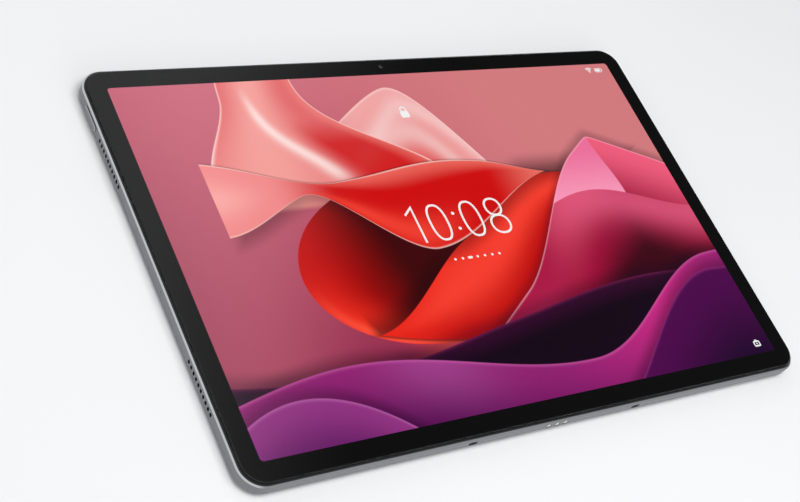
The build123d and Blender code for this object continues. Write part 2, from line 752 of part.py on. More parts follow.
def pogo_block():
    """Insulating block that lines the three contact holes in the bottom wall."""
    holder = wall_prism("bottom", 0, SIDE_Z, Rectangle(*POGO_BLOCK), (WALL_T, POGO_BLOCK_END))
    liner = Circle(CONTACT_R + CONTACT_LINER)
    bore = Circle(CONTACT_R)
    for step in (-1, 0, 1):
        holder += wall_prism("bottom", step * CONTACT_PITCH, SIDE_Z, liner, (LINER_SUNK, WALL_T))
    for step in (-1, 0, 1):
        holder -= wall_prism("bottom", step * CONTACT_PITCH, SIDE_Z, bore, (0.0, POGO_BLOCK_END + CUT))
    return holder


def pogo_contacts():
    """Three round contacts, a little below the wall's outer face."""
    pins = []
    for step in (-1, 0, 1):
        pin = wall_prism("bottom", step * CONTACT_PITCH, SIDE_Z, Circle(CONTACT_R), CONTACT_DEPTH)
        face = pin.faces().sort_by(Axis.Y)[0]
        pins.append(fillet(face.edges(), CONTACT_EDGE_R))
    return group(pins)


def dock_magnets():
    """Bar magnets along the bottom wall that hold a keyboard."""
    return group(block(centred(x, DOCK_MAGNET_W), DOCK_MAGNET_Y, DOCK_MAGNET_Z) for x in DOCK_MAGNET_X)


# ---- electronics

BOARD_X = (-84.0, 114.0)
BOARD_Y = (42.0, 86.0)
READER_WING_X = (86.5, 105.5)
READER_WING_Y = (86.0, 93.5)
CHIP_SEAT = 0.05

# Chips and connectors on the main board: X and Y limits, and height above the board
CHIPS = [
    ((-29.0, -15.0), (55.0, 69.0), 0.75),
    ((-9.0, 3.0), (57.0, 67.0), 0.7),
    ((36.0, 45.0), (58.0, 67.0), 0.7),
    ((54.0, 61.0), (60.0, 67.0), 0.6),
    ((-72.0, -62.0), (60.0, 70.0), 0.8),
    ((-8.0, 8.0), (42.6, 45.4), 0.34),
    ((-84.0, -80.0), (72.0, 80.0), 0.1),
]

PROCESSOR_CAN = ((-40.0, 16.0), (46.5, 78.0))
RADIO_CAN = ((28.0, 72.0), (50.0, 78.0))
CAN_R = 1.0
SPREADER_X = (-50.0, 80.0)
SPREADER_Y = (44.0, 80.0)
SPREADER_Z = (3.36, 3.48)
SPREADER_R = 2.0
CELL_X = (2.0, 116.0)
CELL_Y = (-84.0, 28.0)
CELL_TOP = 3.3
CELL_R = 3.0
CELL_EDGE_R = 0.6
CELL_BOARD_X = (-40.0, 40.0)
CELL_BOARD_Y = (28.6, 32.6)
CELL_BOARD_TOP = 2.6
CELL_CABLE_X = (-8.0, 8.0)
CELL_CABLE_Y = (29.0, 45.4)
CELL_CABLE_Z = (2.65, 2.77)
DISPLAY_FLEX_X = (10.0, 30.0)
DISPLAY_TAIL_X = (10.0, 19.0)
DISPLAY_FLEX_Y = (79.5, 86.6, 86.75)
CAMERA_FLEX_X = (LENS_X + 5.8, -80.0)
CAMERA_FLEX_Y = (73.0, 79.0)
CAMERA_FLEX_Z = (2.4, 2.52)
ANTENNA_W = 20.0
ANTENNA_Y = (88.4, 93.9)
ANTENNA_Z = (1.75, 4.6)
ANTENNA_R = 0.6
ANTENNA_WELL_W = 17.0
ANTENNA_WELL_Y = (89.6, 92.7)
ANTENNA_WELL_Z = 2.4
ANTENNA_WELL_R = 0.4


def main_board():
    """Main circuit board with its soldered chips and connectors."""
    board = block(BOARD_X, BOARD_Y, BOARD_Z)
    board += block(READER_WING_X, READER_WING_Y, BOARD_Z)
    top = BOARD_Z[1]
    for x, y, height in CHIPS:
        board += block(x, y, (top - CHIP_SEAT, top + height))
    for x, y in BOARD_SCREWS:
        board -= disc(x, y, SCREW_R + PASS, (BOARD_Z[0] - CUT, top + CUT))
    return board


def shield_can(x, y):
    """Thin metal can over a group of chips, open towards the board."""
    can = block(x, y, (BOARD_Z[1], CAN_TOP), CAN_R)
    inner_x = (x[0] + CAN_WALL, x[1] - CAN_WALL)
    inner_y = (y[0] + CAN_WALL, y[1] - CAN_WALL)
    return can - block(inner_x, inner_y, (BOARD_Z[1] - CUT, CAN_TOP - CAN_WALL), CAN_R - CAN_WALL)


def heat_spreader():
    """Graphite sheet between the shields and the middle plate."""
    return block(SPREADER_X, SPREADER_Y, SPREADER_Z, SPREADER_R)


def battery_cell(side):
    """Flat pouch cell with rounded edges."""
    cell = block(mirrored(CELL_X, side), CELL_Y, (LOW_Z, CELL_TOP), CELL_R)
    faces = [cell.faces().sort_by(Axis.Z)[i] for i in (0, -1)]
    return fillet(faces[0].edges() + faces[1].edges(), CELL_EDGE_R)


def battery_board():
    """Protection board along the top of the two cells."""
    return block(CELL_BOARD_X, CELL_BOARD_Y, (LOW_Z, CELL_BOARD_TOP))


def battery_cable():
    """Flat cable from the protection board to the main board."""
    return block(CELL_CABLE_X, CELL_CABLE_Y, CELL_CABLE_Z)


def display_flex():
    """Flat cable round the edge of the backlight, down to the main board."""
    near, inner, outer = DISPLAY_FLEX_Y
    down = block(DISPLAY_FLEX_X, (inner, outer), (FLEX_Z[0], PANEL_Z[0]))
    return down + block(DISPLAY_TAIL_X, (near, outer), FLEX_Z)


def camera_flex():
    """Flat cable from the rear camera to the main board."""
    return block(CAMERA_FLEX_X, CAMERA_FLEX_Y, CAMERA_FLEX_Z)


def antenna(x):
    """Wireless antenna on its plastic carrier, along the top wall."""
    carrier = block(centred(x, ANTENNA_W), ANTENNA_Y, ANTENNA_Z, ANTENNA_R)
    well = (ANTENNA_WELL_Z, ANTENNA_Z[1] + CUT)
    return carrier - block(centred(x, ANTENNA_WELL_W), ANTENNA_WELL_Y, well, ANTENNA_WELL_R)


# ---- every node, by name


def all_parts():
    parts = {
        "rear_housing": rear_housing(),
        "antenna_cover": antenna_cover(),
        "badge_plate": badge_plate(),
        "pen_marker": pen_marker(),
        "pen_magnets": pen_magnets(),
        "camera_plate": camera_plate(),
        "lens_ring": lens_ring(),
        "lens_window": lens_window(),
        "lens_element": lens_element(),
        "rear_camera": rear_camera(),
        "flash_ring": flash_ring(),
        "flash_window": flash_window(),
        "flash_lamp": flash_lamp(),
        "flash_board": flash_board(),
        "cover_glass": cover_glass(),
        "border_print": border_print(),
        "display_frame": display_frame(),
        "display_tape": display_tape(),
        "display_panel": display_panel(),
        "backlight_unit": backlight_unit(),
        "mid_plate": mid_plate(),
        "front_camera": front_camera(),
        "power_button": power_button(),
        "power_switch": power_switch(),
        "volume_rocker": volume_rocker(),
        "volume_switches": volume_switches(),
        "card_tray": card_tray(),
        "card_reader": card_reader(),
        "usb_shell": usb_shell(),
        "usb_tongue": usb_tongue(),
        "usb_board": usb_board(),
        "usb_flex": usb_flex(),
        "side_microphone": microphone("left", MIC_SIDE_Y),
        "top_microphone": microphone("top", MIC_TOP_X),
        "pogo_block": pogo_block(),
        "pogo_contacts": pogo_contacts(),
        "dock_magnets": dock_magnets(),
        "main_board": main_board(),
        "processor_shield": shield_can(*PROCESSOR_CAN),
        "radio_shield": shield_can(*RADIO_CAN),
        "heat_spreader": heat_spreader(),
        "battery_left": battery_cell(-1),
        "battery_right": battery_cell(1),
        "battery_board": battery_board(),
        "battery_cable": battery_cable(),
        "display_flex": display_flex(),
        "camera_flex": camera_flex(),
        "left_antenna": antenna(ANTENNA_X[0]),
        "right_antenna": antenna(ANTENNA_X[1]),
        "plate_screws": screws(PLATE_SCREWS, PLATE_Z[1], PLATE_SCREW_LENGTH),
        "board_screws": screws(BOARD_SCREWS, BOARD_Z[1], BOARD_SCREW_LENGTH),
    }
    for side, side_name in ((-1, "left"), (1, "right")):
        for y, level in ((SPEAKER_Y, "upper"), (-SPEAKER_Y, "lower")):
            parts[f"{level}_{side_name}_speaker"] = speaker(side, y)
            parts[f"{level}_{side_name}_mesh"] = speaker_mesh(side, y)
    return parts


os.makedirs("parts", exist_ok=True)
for name, shape in all_parts().items():
    export_step(shape, f"parts/{name}.step")
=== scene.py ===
import math

import bmesh
import bpy
from mathutils import Matrix, Vector


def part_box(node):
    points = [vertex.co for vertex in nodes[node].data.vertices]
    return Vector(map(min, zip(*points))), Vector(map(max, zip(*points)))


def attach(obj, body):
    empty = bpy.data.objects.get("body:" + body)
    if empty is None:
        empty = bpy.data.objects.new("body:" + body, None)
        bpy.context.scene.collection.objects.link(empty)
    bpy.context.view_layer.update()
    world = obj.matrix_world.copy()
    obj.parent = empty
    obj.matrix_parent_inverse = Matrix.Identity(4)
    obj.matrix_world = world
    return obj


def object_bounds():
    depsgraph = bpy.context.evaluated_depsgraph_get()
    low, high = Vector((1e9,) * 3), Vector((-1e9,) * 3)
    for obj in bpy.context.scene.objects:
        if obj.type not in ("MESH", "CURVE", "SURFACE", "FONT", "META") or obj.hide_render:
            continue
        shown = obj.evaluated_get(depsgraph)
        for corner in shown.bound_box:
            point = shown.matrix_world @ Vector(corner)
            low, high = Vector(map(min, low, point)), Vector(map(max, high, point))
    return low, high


# Studio picture of a tablet computer that lies on its back. Metres, in the frame of the packed
# model: +X to the right of the screen, +Y towards its top edge and +Z out of the screen.

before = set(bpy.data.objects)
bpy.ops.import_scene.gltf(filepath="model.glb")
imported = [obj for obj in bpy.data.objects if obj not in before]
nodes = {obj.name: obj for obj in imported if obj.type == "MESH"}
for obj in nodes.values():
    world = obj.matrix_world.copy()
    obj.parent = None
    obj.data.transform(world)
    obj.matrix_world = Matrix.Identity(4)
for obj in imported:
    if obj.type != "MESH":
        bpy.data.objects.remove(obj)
cad_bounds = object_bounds()

MM = 0.001
TURN = 2 * math.pi
BLACK = (0.0, 0.0, 0.0, 1.0)
WHITE = (1.0, 1.0, 1.0, 1.0)

# ---- places taken from the frame
PANEL_LOW, PANEL_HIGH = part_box("display_panel")
WALL_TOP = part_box("rear_housing")[1].z
SEAM_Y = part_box("antenna_cover")[0].y
FLOOR_Z = cad_bounds[0].z

# ---- cuts on the housing's edges, as the CAD has them: how far each reaches along the wall
FRONT_CUT = 0.35 * MM
REAR_CUT = 1.3 * MM
CUT_BLEND = 0.05 * MM

# ---- camera
CAMERA_AIM = (-0.03675, -0.00681, 0.006)
CAMERA_DISTANCE = 0.6279
CAMERA_BEARING = -144.64
CAMERA_ELEVATION = 45.03
CAMERA_ROLL = 37.34
CAMERA_LENS = 68.14

# ---- lit part of the screen
ACTIVE_W = 273.5 * MM
ACTIVE_H = 171.0 * MM
ACTIVE_CORNER = 1.5 * MM
ACTIVE_Y = (PANEL_LOW.y + PANEL_HIGH.y) / 2


# ---- helpers: shader nodes


class Field:
    """A number or colour that varies over a surface: the output of one shader node."""

    def __init__(self, socket):
        self.socket = socket

    def __add__(self, other):
        return calc("ADD", self, other)

    def __sub__(self, other):
        return calc("SUBTRACT", self, other)

    def __rsub__(self, other):
        return calc("SUBTRACT", other, self)

    def __mul__(self, other):
        return calc("MULTIPLY", self, other)

    def __truediv__(self, other):
        return calc("DIVIDE", self, other)

    __radd__ = __add__
    __rmul__ = __mul__


def plug(slot, value):
    """Link a field to a shader socket, or set a plain value on it."""
    if isinstance(value, Field):
        slot.id_data.links.new(value.socket, slot)
    else:
        slot.default_value = value


def tree_of(values):
    """The node tree that the first field among some values belongs to."""
    return next(v.socket.id_data for v in values if isinstance(v, Field))


def calc(operation, *values):
    """One math node over fields and numbers."""
    node = tree_of(values).nodes.new("ShaderNodeMath")
    node.operation = operation
    for slot, value in zip(node.inputs, values):
        plug(slot, value)
    return Field(node.outputs[0])


def sine(x):
    return calc("SINE", x)


def root(x):
    return calc("SQRT", x)


def absolute(x):
    return calc("ABSOLUTE", x)


def most(a, b):
    return calc("MAXIMUM", a, b)


def bell(x, centre, width):
    """1 at the centre, falling smoothly to 0 a few widths away."""
    off = (x - centre) * (1 / width)
    return calc("EXPONENT", off * off * -1.0)


def ramp(x, low, high):
    """0 below the low value, 1 above the high one, and an S curve between them."""
    node = tree_of([x]).nodes.new("ShaderNodeMapRange")
    node.interpolation_type = "SMOOTHSTEP"
    plug(node.inputs["Value"], x)
    plug(node.inputs["From Min"], min(low, high))
    plug(node.inputs["From Max"], max(low, high))
    plug(node.inputs["To Min"], 0.0 if low < high else 1.0)
    plug(node.inputs["To Max"], 1.0 if low < high else 0.0)
    return Field(node.outputs["Result"])


def mix(factor, low, high):
    """The low colour where the factor is 0 and the high one where it is 1."""
    node = tree_of([factor, low, high]).nodes.new("ShaderNodeMix")
    node.data_type = "RGBA"
    by_kind = [s for s in node.inputs if s.type == "RGBA"]
    plug(node.inputs[0], factor)
    plug(by_kind[0], low)
    plug(by_kind[1], high)
    return Field(next(s for s in node.outputs if s.type == "RGBA"))


def srgb(red, green, blue):
    """A linear colour from the usual 0 to 255 screen values."""
    made = []
    for level in (red, green, blue):
        c = level / 255
        made.append(c / 12.92 if c <= 0.04045 else ((c + 0.055) / 1.055) ** 2.4)
    return (*made, 1.0)


class Paint:
    """A material under construction, with the patterns that the finishes are made from."""

    def __init__(self, name):
        self.material = bpy.data.materials.new(name)
        self.material.use_nodes = True
        self.tree = self.material.node_tree
        self.shader = next(n for n in self.tree.nodes if n.type == "BSDF_PRINCIPLED")

    def node(self, kind):
        return self.tree.nodes.new(kind)

    def set(self, **values):
        """Set or link inputs of the main shader; an underscore in a name stands for a space."""
        for name, value in values.items():
            plug(self.shader.inputs[name.replace("_", " ")], value)
        return self

    def place(self):
        """Where a point is on the object, in metres."""
        return Field(self.node("ShaderNodeTexCoord").outputs["Object"])

    def split(self, vector):
        """The three parts of a vector."""
        node = self.node("ShaderNodeSeparateXYZ")
        plug(node.inputs[0], vector)
        return [Field(s) for s in node.outputs]

    def facing(self, axis=2):
        """How far the surface faces along one of the object's axes: from 1 to -1."""
        return self.split(Field(self.node("ShaderNodeTexCoord").outputs["Normal"]))[axis]

    def radius(self, node_name):
        """Distance from the middle of a CAD node, as seen from the front or the back."""
        low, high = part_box(node_name)
        x, y = self.split(self.place())[:2]
        dx = x - (low.x + high.x) / 2
        dy = y - (low.y + high.y) / 2
        return root(dx * dx + dy * dy)

    def stretched(self, scale):
        """The place, scaled apart on each axis so that a pattern runs along one of them."""
        node = self.node("ShaderNodeVectorMath")
        node.operation = "MULTIPLY"
        plug(node.inputs[0], self.place())
        node.inputs[1].default_value = scale
        return Field(node.outputs[0])

    def noise(self, scale, detail=2.0, vector=None):
        """Cloudy pattern between 0 and 1: a high scale makes it fine, and detail adds octaves."""
        node = self.node("ShaderNodeTexNoise")
        plug(node.inputs["Vector"], vector or self.place())
        node.inputs["Scale"].default_value = scale
        node.inputs["Detail"].default_value = detail
        return Field(node.outputs["Fac"])

    def cells(self, scale):
        """Distance to the nearest of many scattered points, in the pattern's own units."""
        node = self.node("ShaderNodeTexVoronoi")
        plug(node.inputs["Vector"], self.place())
        node.inputs["Scale"].default_value = scale
        return Field(node.outputs["Distance"])

    def bump(self, height, distance, strength=1.0):
        """Relief from a height between 0 and 1 that stands for so many metres."""
        node = self.node("ShaderNodeBump")
        plug(node.inputs["Height"], height)
        node.inputs["Distance"].default_value = distance
        node.inputs["Strength"].default_value = strength
        return self.set(Normal=Field(node.outputs["Normal"]))


def wear(paint):
    """Give a material to CAD nodes by name."""
    def put(*node_names):
        for node_name in node_names:
            mesh = nodes[node_name].data
            mesh.materials.clear()
            mesh.materials.append(paint.material)
    return put


# ---- camera, floor and light


def heading(bearing, elevation):
    """Unit vector that points at a bearing and an elevation in degrees."""
    across = math.cos(math.radians(elevation))
    return Vector((
        across * math.cos(math.radians(bearing)),
        across * math.sin(math.radians(bearing)),
        math.sin(math.radians(elevation)),
    ))


def seen_from(aim, distance, bearing, elevation, roll=0.0):
    """Placing of something that looks at a point from a bearing and an elevation in degrees."""
    away = heading(bearing, elevation)
    turn = away.to_track_quat("Z", "Y").to_matrix().to_4x4()
    spin = Matrix.Rotation(math.radians(roll), 4, "Z")
    return Matrix.Translation(Vector(aim) + away * distance) @ turn @ spin


def make_camera():
    data = bpy.data.cameras.new("camera")
    data.lens = CAMERA_LENS
    data.clip_start = 0.01
    camera = bpy.data.objects.new("camera", data)
    camera.matrix_world = seen_from(
        CAMERA_AIM, CAMERA_DISTANCE, CAMERA_BEARING, CAMERA_ELEVATION, CAMERA_ROLL
    )
    bpy.context.scene.collection.objects.link(camera)
    bpy.context.scene.camera = camera


def soft_box(name, bearing, elevation, distance, size, power):
    """Large rectangular light that looks at the middle of the tablet, unseen in reflections."""
    data = bpy.data.lights.new(name, "AREA")
    data.shape = "RECTANGLE"
    data.size = size[0]
    data.size_y = size[1]
    data.energy = power
    light = bpy.data.objects.new(name, data)
    light.matrix_world = seen_from((0, 0, 0), distance, bearing, elevation)
    light.visible_glossy = False
    light.visible_transmission = False
    bpy.context.scene.collection.objects.link(light)


# Dark flags in the surroundings: bearing, elevation, the cosines between which each one's edge
# fades, and how much light it leaves. The first keeps the glass clear of reflections.
FLAGS = (
    (12.0, 33.0, 0.845, 0.925, 0.06),
    (-29.0, 48.0, 0.85, 0.95, 0.44),
)
WORLD_COLOUR = (0.93, 0.94, 0.95, 1.0)
WORLD_STRENGTH = 0.66
FLOOR_RADIUS = 4.0


def make_world():
    """Even pale surroundings with dark flags."""
    world = bpy.data.worlds.new("studio")
    world.use_nodes = True
    bpy.context.scene.world = world
    tree = world.node_tree
    background = next(n for n in tree.nodes if n.type == "BACKGROUND")
    direction = tree.nodes.new("ShaderNodeTexCoord").outputs["Generated"]
    colour = WORLD_COLOUR
    for bearing, elevation, low, high, left in FLAGS:
        dot = tree.nodes.new("ShaderNodeVectorMath")
        dot.operation = "DOT_PRODUCT"
        tree.links.new(direction, dot.inputs[0])
        dot.inputs[1].default_value = heading(bearing, elevation)
        inside = ramp(Field(dot.outputs["Value"]), low, high)
        colour = mix(inside, colour, (left, left, left * 1.05, 1.0))
    plug(background.inputs["Color"], colour)
    background.inputs["Strength"].default_value = WORLD_STRENGTH


def make_floor():
    """Pale round floor under the rear camera's ring, which is the tablet's lowest point."""
    mesh = bpy.data.meshes.new("floor")
    made = bmesh.new()
    bmesh.ops.create_circle(made, cap_ends=True, radius=FLOOR_RADIUS, segments=128)
    bmesh.ops.translate(made, verts=made.verts, vec=(0, 0, FLOOR_Z))
    made.to_mesh(mesh)
    made.free()
    floor = bpy.data.objects.new("floor", mesh)
    bpy.context.scene.collection.objects.link(floor)
    paint = Paint("studio_floor")
    cloud = paint.noise(scale=3.0, detail=4.0)
    paint.set(
        Base_Color=mix(cloud, srgb(238, 239, 240), srgb(243, 244, 245)),
        Roughness=ramp(cloud, -0.6, 1.6),
        Specular_IOR_Level=0.2,
    )
    mesh.materials.append(paint.material)


make_camera()
make_world()
make_floor()
soft_box("overhead_box", bearing=-100, elevation=78, distance=1.2, size=(0.9, 0.7), power=8.5)
soft_box("front_box", bearing=-98, elevation=20, distance=1.1, size=(0.6, 0.3), power=1.2)
bpy.context.scene.view_settings.view_transform = "Standard"


# ---- finishes: metal


ALUMINIUM = (0.185, 0.188, 0.195, 1.0)
# Painted shade: the housing's colour, darkened for its rear face.
REAR_PAINTED_SHADE = (0.145, 0.147, 0.152, 1.0)
KEY_ALUMINIUM = (0.24, 0.242, 0.25, 1.0)
BRIGHT_CUT = (0.83, 0.84, 0.86, 1.0)
PALE_GRAIN = (0.45, 0.45, 0.46, 1.0)

# How far a slanted face faces along an axis: more than a wall does, and less than a flat face
SLANT_FROM = (0.2, 0.3)
SLANT_TO = (0.97, 0.93)


def slanted(facing):
    """1 where a face neither lies along an axis nor stands square to it."""
    slant = absolute(facing)
    return ramp(slant, *SLANT_FROM) * ramp(slant, *SLANT_TO)


def blasted(paint, colour, polished, bright):
    """Bead-blasted anodised aluminium, with polished cuts where the mask is 1."""
    grain = paint.noise(scale=9000.0, detail=2.0)
    cloud = paint.noise(scale=22.0, detail=3.0)
    dull = mix(ramp(grain, 0.3, 0.75) * 0.22, colour, PALE_GRAIN)
    dull = mix(cloud * 0.04, dull, WHITE)
    paint.set(
        Base_Color=mix(polished, dull, bright),
        Metallic=1.0,
        Roughness=0.36 + 0.06 * grain - 0.25 * polished,
    )
    return paint.bump(grain * (1.0 - polished), distance=0.012 * MM, strength=0.5)


def housing_metal():
    """The housing: chamfers cut bright, and painted shade that darkens its rear face."""
    paint = Paint("anodised_housing")
    y, z = paint.split(paint.place())[1:]
    facing = paint.facing()
    on_front = ramp(z, WALL_TOP - FRONT_CUT - 2 * CUT_BLEND, WALL_TOP - FRONT_CUT - CUT_BLEND)
    on_rear = ramp(z, REAR_CUT + CUT_BLEND, REAR_CUT) * ramp(y, SEAM_Y, SEAM_Y - 4 * CUT_BLEND)
    # Painted shade: faces that look down, on the rear, take the darker colour.
    colour = mix(ramp(facing, -0.9, -0.98), ALUMINIUM, REAR_PAINTED_SHADE)
    return blasted(paint, colour, slanted(facing) * most(on_front, on_rear), BRIGHT_CUT)


def key_metal(name, axis):
    """A key or tray front in a wall that faces along an axis: its rounded edge is cut bright."""
    paint = Paint(name)
    colour = mix(paint.noise(scale=300.0), ALUMINIUM, KEY_ALUMINIUM)
    return blasted(paint, colour, slanted(paint.facing(axis)), BRIGHT_CUT)


def badge_metal():
    """Blank brushed badge with a painted highlight in a soft band across its middle."""
    paint = Paint("badge_brushed")
    low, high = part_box("badge_plate")
    y = paint.split(paint.place())[1]
    scratch = paint.noise(scale=2600.0, detail=3.0, vector=paint.stretched((0.03, 1.0, 1.0)))
    along = (y - (low.y + high.y) / 2) * (2 / (high.y - low.y))
    # Painted highlight: the badge is lighter in a soft band across its middle.
    painted_highlight = bell(along, centre=0.1, width=0.55)
    metal = mix(painted_highlight, (0.26, 0.26, 0.265, 1.0), (0.78, 0.78, 0.79, 1.0))
    paint.set(
        Base_Color=mix(ramp(scratch, 0.25, 0.75) * 0.35, metal, (0.2, 0.2, 0.205, 1.0)),
        Metallic=1.0,
        Roughness=0.24 + 0.14 * scratch,
    )
    return paint.bump(scratch, distance=0.008 * MM, strength=0.5)


def island_metal():
    """Camera island: satin face with a painted reflection that darkens it round the lens, and a
    bright bevel.
    """
    paint = Paint("island_satin")
    low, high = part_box("camera_plate")
    x, y = paint.split(paint.place())[:2]
    lean = 0.25
    along = (x - low.x) * (1 / (high.x - low.x)) + (y - low.y) * (-lean / (high.y - low.y))
    grain = paint.noise(scale=7000.0, detail=2.0)
    # Painted reflection: the face is dark at one end of the plate, round the lens, and pale at the
    # other.
    face = mix(ramp(along, 0.05, 0.42), (0.045, 0.045, 0.048, 1.0), (0.3, 0.3, 0.305, 1.0))
    bevel = slanted(paint.facing())
    face = mix(ramp(grain, 0.3, 0.75) * 0.12, face, (0.5, 0.5, 0.51, 1.0))
    paint.set(
        Base_Color=mix(bevel, face, (0.8, 0.8, 0.81, 1.0)),
        Metallic=0.85,
        Roughness=0.24 + 0.06 * grain - 0.1 * bevel,
    )
    return paint.bump(grain, distance=0.006 * MM, strength=0.4)


def bright_metal(name, colour, roughness, stretch=(1, 1, 1)):
    """Turned or brushed bright metal: fine scratches that follow one axis."""
    paint = Paint(name)
    scratch = paint.noise(scale=2600.0, detail=3.0, vector=paint.stretched(stretch))
    cloud = paint.noise(scale=160.0, detail=2.0)
    shade = ramp(scratch, 0.2, 0.8) * 0.3 + cloud * 0.2
    paint.set(
        Base_Color=mix(shade, colour, [c * 0.72 for c in colour[:3]] + [1.0]),
        Metallic=1.0,
        Roughness=roughness + 0.1 * scratch,
    )
    return paint.bump(scratch, distance=0.006 * MM, strength=0.4)


# ---- finishes: plastic, film and board


def moulded(name, colour, roughness, grain_scale=5200.0):
    """Moulded plastic or coating with a fine spark-eroded grain."""
    paint = Paint(name)
    grain = paint.noise(scale=grain_scale, detail=3.0)
    cloud = paint.noise(scale=60.0, detail=3.0)
    lighter = [min(1.0, c * 1.35 + 0.004) for c in colour[:3]] + [1.0]
    paint.set(
        Base_Color=mix(ramp(grain, 0.35, 0.7) * 0.5 + cloud * 0.3, colour, lighter),
        Roughness=roughness + 0.12 * grain,
    )
    return paint.bump(grain, distance=0.01 * MM, strength=0.6)


def printed_ink():
    """Deep black ink, printed in fine dots on the underside of the glass and bonded to it."""
    paint = Paint("border_ink")
    dots = ramp(paint.cells(scale=6000.0), 0.2, 0.5)
    grain = paint.noise(scale=900.0, detail=3.0)
    paint.set(
        Base_Color=mix(dots * grain, (0.005, 0.005, 0.0052, 1.0), (0.009, 0.009, 0.0092, 1.0)),
        Roughness=0.55 + 0.15 * grain,
        Specular_IOR_Level=0.0,
    )
    return paint.bump(dots, distance=0.002 * MM, strength=0.3)


def woven():
    """Fine dust mesh: round threads that cross, with painted shade in the holes between them."""
    paint = Paint("mesh_woven")
    y, z = paint.split(paint.place())[1:]
    pitch = 0.28 * MM
    over = sine(y * (TURN / pitch)) * 0.5 + 0.5
    under = sine(z * (TURN / pitch)) * 0.5 + 0.5
    thread = most(over, under)
    paint.set(
        # Painted shade: the holes between the threads are dark.
        Base_Color=mix(ramp(thread, 0.5, 0.95), srgb(6, 6, 7), srgb(44, 45, 48)),
        Roughness=0.75 - 0.2 * thread,
    )
    return paint.bump(thread, distance=0.05 * MM)


def circuit_board():
    """Green solder mask over copper tracks, gold vias, and black packages above the board."""
    paint = Paint("board_green")
    x, y, z = paint.split(paint.place())
    track_pitch = (1.2 * MM, 1.6 * MM)
    tracks = sine(x * (TURN / track_pitch[0])) * sine(y * (TURN / track_pitch[1]))
    patch = paint.cells(scale=320.0)
    via = ramp(paint.cells(scale=700.0), 0.16, 0.12)
    has_track = ramp(tracks, 0.25, 0.32) * ramp(patch, 0.2, 0.3)
    mask = mix(has_track, srgb(12, 52, 36), srgb(34, 92, 60))
    copper = mix(via, mask, srgb(214, 170, 92))
    package = mix(paint.noise(scale=3000.0, detail=2.0), srgb(18, 18, 20), srgb(30, 30, 33))
    board_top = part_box("processor_shield")[0].z
    is_package = ramp(z, board_top + 0.01 * MM, board_top + 0.03 * MM)
    paint.set(
        Base_Color=mix(is_package, copper, package),
        Metallic=via * (1.0 - is_package),
        Roughness=0.35 + 0.25 * is_package,
    )
    return paint.bump(tracks, distance=0.02 * MM, strength=0.4)


def flex_cable(name, along):
    """Amber polyimide film with copper lines under it, along one axis: 0 for x or 1 for y."""
    paint = Paint(name)
    across = paint.split(paint.place())[1 - along]
    line_pitch = 0.7 * MM
    line = ramp(sine(across * (TURN / line_pitch)), 0.0, 0.4)
    cloud = paint.noise(scale=220.0, detail=2.0)
    film = mix(cloud, srgb(150, 84, 22), srgb(178, 104, 34))
    paint.set(
        Base_Color=mix(line * 0.55, film, srgb(206, 128, 70)),
        Roughness=0.3 + 0.15 * cloud,
        Metallic=line * 0.4,
    )
    return paint.bump(line, distance=0.015 * MM, strength=0.5)


def pouch():
    """Battery pouch in matt dark film with soft wrinkles."""
    paint = Paint("battery_pouch")
    wrinkle = paint.noise(scale=70.0, detail=4.0, vector=paint.stretched((1.0, 0.35, 1.0)))
    fine = paint.noise(scale=4200.0, detail=2.0)
    paint.set(
        Base_Color=mix(fine, srgb(30, 31, 34), srgb(48, 49, 53)),
        Roughness=0.34 + 0.2 * wrinkle,
        Metallic=0.35,
    )
    return paint.bump(wrinkle, distance=0.4 * MM, strength=0.5)


def stamped(name, colour):
    """Stamped sheet steel with rolling lines and faint dimples."""
    paint = Paint(name)
    roll = paint.noise(scale=900.0, detail=4.0, vector=paint.stretched((1.0, 0.06, 1.0)))
    dimple = ramp(paint.cells(scale=260.0), 0.12, 0.3)
    paint.set(
        Base_Color=mix(roll, colour, [c * 0.7 for c in colour[:3]] + [1.0]),
        Metallic=1.0,
        Roughness=0.28 + 0.2 * roll,
    )
    return paint.bump(dimple * 0.6 + roll * 0.4, distance=0.03 * MM, strength=0.5)


# ---- finishes: glass


def clear_glass(name, tint):
    """Clear glass with a faint polish haze."""
    paint = Paint(name)
    haze = paint.noise(scale=120.0, detail=3.0)
    paint.set(
        Base_Color=mix(haze, tint, WHITE),
        Transmission_Weight=1.0,
        IOR=1.5,
        Roughness=0.012 * ramp(haze, 0.5, 0.9),
    )
    return paint


def diffuser():
    """Frosted window over the flash, moulded in fine rings, with a painted glow at its lamp: paler
    colour there, and light that the window gives off although the flash is not lit.
    """
    paint = Paint("flash_diffuser")
    radius = paint.radius("flash_window")
    ring_pitch = 0.45 * MM
    rings = sine(radius * (TURN / ring_pitch)) * 0.5 + 0.5
    # Painted glow: paler colour round the lamp, and emitted light there, though the flash is not lit.
    pale = bell(radius, centre=0.0, width=1.5 * MM)
    painted_glow = bell(radius, centre=0.0, width=1.1 * MM)
    paint.set(
        Base_Color=mix(pale, srgb(140, 141, 142), srgb(252, 250, 236)),
        Emission_Color=mix(painted_glow, BLACK, srgb(250, 247, 226)),
        Emission_Strength=0.55,
        Transmission_Weight=0.35,
        Roughness=0.22 + 0.1 * rings,
        IOR=1.5,
    )
    return paint.bump(rings, distance=0.04 * MM, strength=0.5)


def barrel(name, node_name, pupil_colour):
    """Black lens barrel turned in fine rings round its axis, with a paler pupil in the middle."""
    paint = Paint(name)
    radius = paint.radius(node_name)
    ring_pitch = 0.32 * MM
    rings = sine(radius * (TURN / ring_pitch)) * 0.5 + 0.5
    pupil = ramp(radius, 0.9 * MM, 0.75 * MM)
    black = mix(rings, srgb(5, 5, 6), srgb(15, 15, 16))
    paint.set(
        Base_Color=mix(pupil, black, pupil_colour),
        Roughness=0.42 - 0.15 * rings,
    )
    return paint.bump(rings, distance=0.02 * MM, strength=0.4)


